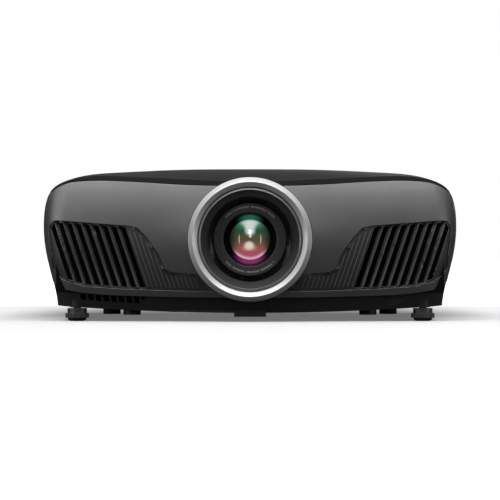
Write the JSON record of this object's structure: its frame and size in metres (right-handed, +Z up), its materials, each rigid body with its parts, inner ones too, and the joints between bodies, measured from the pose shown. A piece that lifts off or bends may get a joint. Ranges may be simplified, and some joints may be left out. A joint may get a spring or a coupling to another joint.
{
  "type": "home projector",
  "caption": "Wide low video projector with a centred shifting lens in a silver trim ring, slanted louvre grilles, lens shutters and screw-down front feet.",
  "frame": {"origin": "under the middle of the object's bounding box, at the floor the feet stand on", "axes": "+Z up, the lens looks along -Y, +X to the right seen from the front"},
  "size_m": [0.52, 0.45, 0.1922],
  "materials": {
    "case_black": "fine matte texture",
    "case_grey": "satin metallic paint",
    "trim_silver": "satin",
    "funnel_black": "matte",
    "grille_grey": "matte",
    "rear_black": "matte",
    "socket_metal": "polished",
    "inlet_black": "gloss",
    "window_red": "gloss",
    "housing_grey": "matte",
    "glass_clear": "polished",
    "fan_black": "matte",
    "board_green": "satin",
    "metal_grey": "brushed",
    "lens_black": "matte anodised look",
    "rubber_black": "matte",
    "brass_bush": "plain",
    "screw_black": "black oxide look",
    "button_grey": "satin",
    "filter_grey": "pleated",
    "lamp_tray": "satin"
  },
  "bodies": {
    "case": {"lower_case": "case_black", "upper_case": "case_black", "front_panel": "case_grey", "lens_trim_ring": "trim_silver", "lens_funnel": "funnel_black", "left_louvre_grille": "grille_grey", "right_louvre_grille": "grille_grey", "rear_panel": "rear_black", "signal_sockets": "socket_metal", "power_inlet": "inlet_black", "indicator_windows": "window_red", "optical_housing": "housing_grey", "cross_prism": "glass_clear", "lcd_panels": "inlet_black", "light_path_optics": "glass_clear", "fan_frame": "fan_black", "blower_housing": "fan_black", "power_supply_board": "board_green", "lamp_ballast": "metal_grey", "main_board": "board_green", "lens_shift_frame": "metal_grey", "shutter_track": "funnel_black", "case_screws": "screw_black", "mount_bushes": "brass_bush", "rear_feet": "rubber_black", "control_plate": "rear_black"},
    "left_shutter": {"shutter_left": "lens_black"},
    "right_shutter": {"shutter_right": "lens_black"},
    "lens_lift": {"vertical_carriage": "metal_grey"},
    "lens_slider": {"horizontal_carriage": "metal_grey", "lens_barrel": "lens_black", "lens_motors": "metal_grey"},
    "focus_turner": {"focus_ring": "lens_black"},
    "front_group": {"front_lens_cell": "lens_black", "front_lens_glass": "glass_clear"},
    "zoom_turner": {"zoom_ring": "lens_black"},
    "zoom_group": {"zoom_lens_cell": "lens_black", "inner_lens_glass": "glass_clear"},
    "left_foot_end": {"left_foot_pad": "rubber_black"},
    "left_foot_knob": {"left_foot": "funnel_black"},
    "right_foot_end": {"right_foot_pad": "rubber_black"},
    "right_foot_knob": {"right_foot": "funnel_black"},
    "lamp_tray": {"lamp_cartridge": "lamp_tray"},
    "lamp_cover": {"lamp_door": "case_black"},
    "filter_tray": {"air_filter": "filter_grey"},
    "filter_cover": {"filter_door": "case_black"},
    "filter_latch": {"filter_knob": "funnel_black"},
    "control_lid": {"control_cover": "case_black"},
    "exhaust_fan": {"exhaust_rotor": "fan_black"},
    "blower_wheel": {"blower_rotor": "fan_black"},
    "iris": {"iris_flag": "lens_black"},
    "power_button_body": {"power_button": "button_grey"},
    "source_button_body": {"source_button": "button_grey"},
    "menu_button_body": {"menu_button": "button_grey"},
    "escape_button_body": {"escape_button": "button_grey"},
    "enter_button_body": {"enter_button": "button_grey"},
    "up_button_body": {"up_button": "button_grey"},
    "down_button_body": {"down_button": "button_grey"},
    "left_button_body": {"left_button": "button_grey"},
    "right_button_body": {"right_button": "button_grey"}
  },
  "joints": [
    {"name": "left_shutter_slide", "type": "slide", "parent": "case", "child": "left_shutter", "axis": [1, 0, 0], "range_m": [0, 0.05]},
    {"name": "right_shutter_slide", "type": "slide", "parent": "case", "child": "right_shutter", "axis": [1, 0, 0], "range_m": [-0.05, 0]},
    {"name": "vertical_shift", "type": "slide", "parent": "case", "child": "lens_lift", "axis": [0, 0, 1], "range_m": [-0.0088, 0.0088]},
    {"name": "horizontal_shift", "type": "slide", "parent": "lens_lift", "child": "lens_slider", "axis": [1, 0, 0], "range_m": [-0.0077, 0.0077]},
    {"name": "focus_turn", "type": "hinge", "parent": "lens_slider", "child": "focus_turner", "pos_m": [0, -0.142, 0.1025], "axis": [0, 1, 0], "range_deg": [-60, 60]},
    {"name": "front_group_travel", "type": "slide", "parent": "lens_slider", "child": "front_group", "axis": [0, 1, 0], "range_m": [-0.0015, 0.0015]},
    {"name": "zoom_turn", "type": "hinge", "parent": "lens_slider", "child": "zoom_turner", "pos_m": [0, -0.114, 0.1025], "axis": [0, 1, 0], "range_deg": [-45, 45]},
    {"name": "zoom_group_travel", "type": "slide", "parent": "lens_slider", "child": "zoom_group", "axis": [0, 1, 0], "range_m": [-0.008, 0.008]},
    {"name": "left_foot_extend", "type": "slide", "parent": "case", "child": "left_foot_end", "axis": [0, 0, -1], "range_m": [0, 0.0201]},
    {"name": "left_foot_turn", "type": "hinge", "parent": "left_foot_end", "child": "left_foot_knob", "pos_m": [-0.2175, -0.165, 0.01], "axis": [0, 0, 1], "range_deg": [0, 3600]},
    {"name": "right_foot_extend", "type": "slide", "parent": "case", "child": "right_foot_end", "axis": [0, 0, -1], "range_m": [0, 0.0201]},
    {"name": "right_foot_turn", "type": "hinge", "parent": "right_foot_end", "child": "right_foot_knob", "pos_m": [0.2175, -0.165, 0.01], "axis": [0, 0, 1], "range_deg": [0, 3600]},
    {"name": "lamp_tray_slide", "type": "slide", "parent": "case", "child": "lamp_tray", "axis": [-1, 0, 0], "range_m": [0, 0.1]},
    {"name": "lamp_door_slide", "type": "slide", "parent": "case", "child": "lamp_cover", "axis": [-1, 0, 0], "range_m": [0, 0.111]},
    {"name": "air_filter_slide", "type": "slide", "parent": "case", "child": "filter_tray", "axis": [1, 0, 0], "range_m": [0, 0.05]},
    {"name": "filter_door_slide", "type": "slide", "parent": "case", "child": "filter_cover", "axis": [1, 0, 0], "range_m": [0, 0.061]},
    {"name": "filter_knob_turn", "type": "hinge", "parent": "filter_cover", "child": "filter_latch", "pos_m": [0.258, -0.118, 0.0965], "axis": [1, 0, 0], "range_deg": [0, 90]},
    {"name": "control_lid_swing", "type": "hinge", "parent": "case", "child": "control_lid", "pos_m": [-0.2568, -0.074, 0.09365], "axis": [0, -1, 0], "range_deg": [0, 90]},
    {"name": "exhaust_spin", "type": "hinge", "parent": "case", "child": "exhaust_fan", "pos_m": [-0.169, -0.168, 0.1045], "axis": [0, 1, 0], "continuous": true},
    {"name": "blower_spin", "type": "hinge", "parent": "case", "child": "blower_wheel", "pos_m": [0.16, -0.096, 0.038], "axis": [0, 0, 1], "continuous": true},
    {"name": "iris_swing", "type": "hinge", "parent": "case", "child": "iris", "pos_m": [-0.101, 0.074, 0.1], "axis": [0, 0, -1], "range_deg": [0, 60]},
    {"name": "power_button_press", "type": "slide", "parent": "case", "child": "power_button_body", "axis": [1, 0, 0], "range_m": [0, 0.0009], "stiffness_N_per_m": 900},
    {"name": "source_button_press", "type": "slide", "parent": "case", "child": "source_button_body", "axis": [1, 0, 0], "range_m": [0, 0.0009], "stiffness_N_per_m": 900},
    {"name": "menu_button_press", "type": "slide", "parent": "case", "child": "menu_button_body", "axis": [1, 0, 0], "range_m": [0, 0.0009], "stiffness_N_per_m": 900},
    {"name": "escape_button_press", "type": "slide", "parent": "case", "child": "escape_button_body", "axis": [1, 0, 0], "range_m": [0, 0.0009], "stiffness_N_per_m": 900},
    {"name": "enter_button_press", "type": "slide", "parent": "case", "child": "enter_button_body", "axis": [1, 0, 0], "range_m": [0, 0.0009], "stiffness_N_per_m": 900},
    {"name": "up_button_press", "type": "slide", "parent": "case", "child": "up_button_body", "axis": [1, 0, 0], "range_m": [0, 0.0009], "stiffness_N_per_m": 900},
    {"name": "down_button_press", "type": "slide", "parent": "case", "child": "down_button_body", "axis": [1, 0, 0], "range_m": [0, 0.0009], "stiffness_N_per_m": 900},
    {"name": "left_button_press", "type": "slide", "parent": "case", "child": "left_button_body", "axis": [1, 0, 0], "range_m": [0, 0.0009], "stiffness_N_per_m": 900},
    {"name": "right_button_press", "type": "slide", "parent": "case", "child": "right_button_body", "axis": [1, 0, 0], "range_m": [0, 0.0009], "stiffness_N_per_m": 900}
  ],
  "couplings": [
    {"joint": "right_shutter_slide", "follows": "left_shutter_slide", "ratio": -1},
    {"joint": "front_group_travel", "follows": "focus_turn", "m_per_rad": 0.0014},
    {"joint": "zoom_group_travel", "follows": "zoom_turn", "m_per_rad": 0.01},
    {"joint": "left_foot_turn", "follows": "left_foot_extend", "rad_per_m": 3126},
    {"joint": "right_foot_turn", "follows": "right_foot_extend", "rad_per_m": 3126},
    {"joint": "lamp_door_slide", "follows": "lamp_tray_slide", "ratio": 1.1},
    {"joint": "filter_door_slide", "follows": "air_filter_slide", "ratio": 1.2}
  ]
}
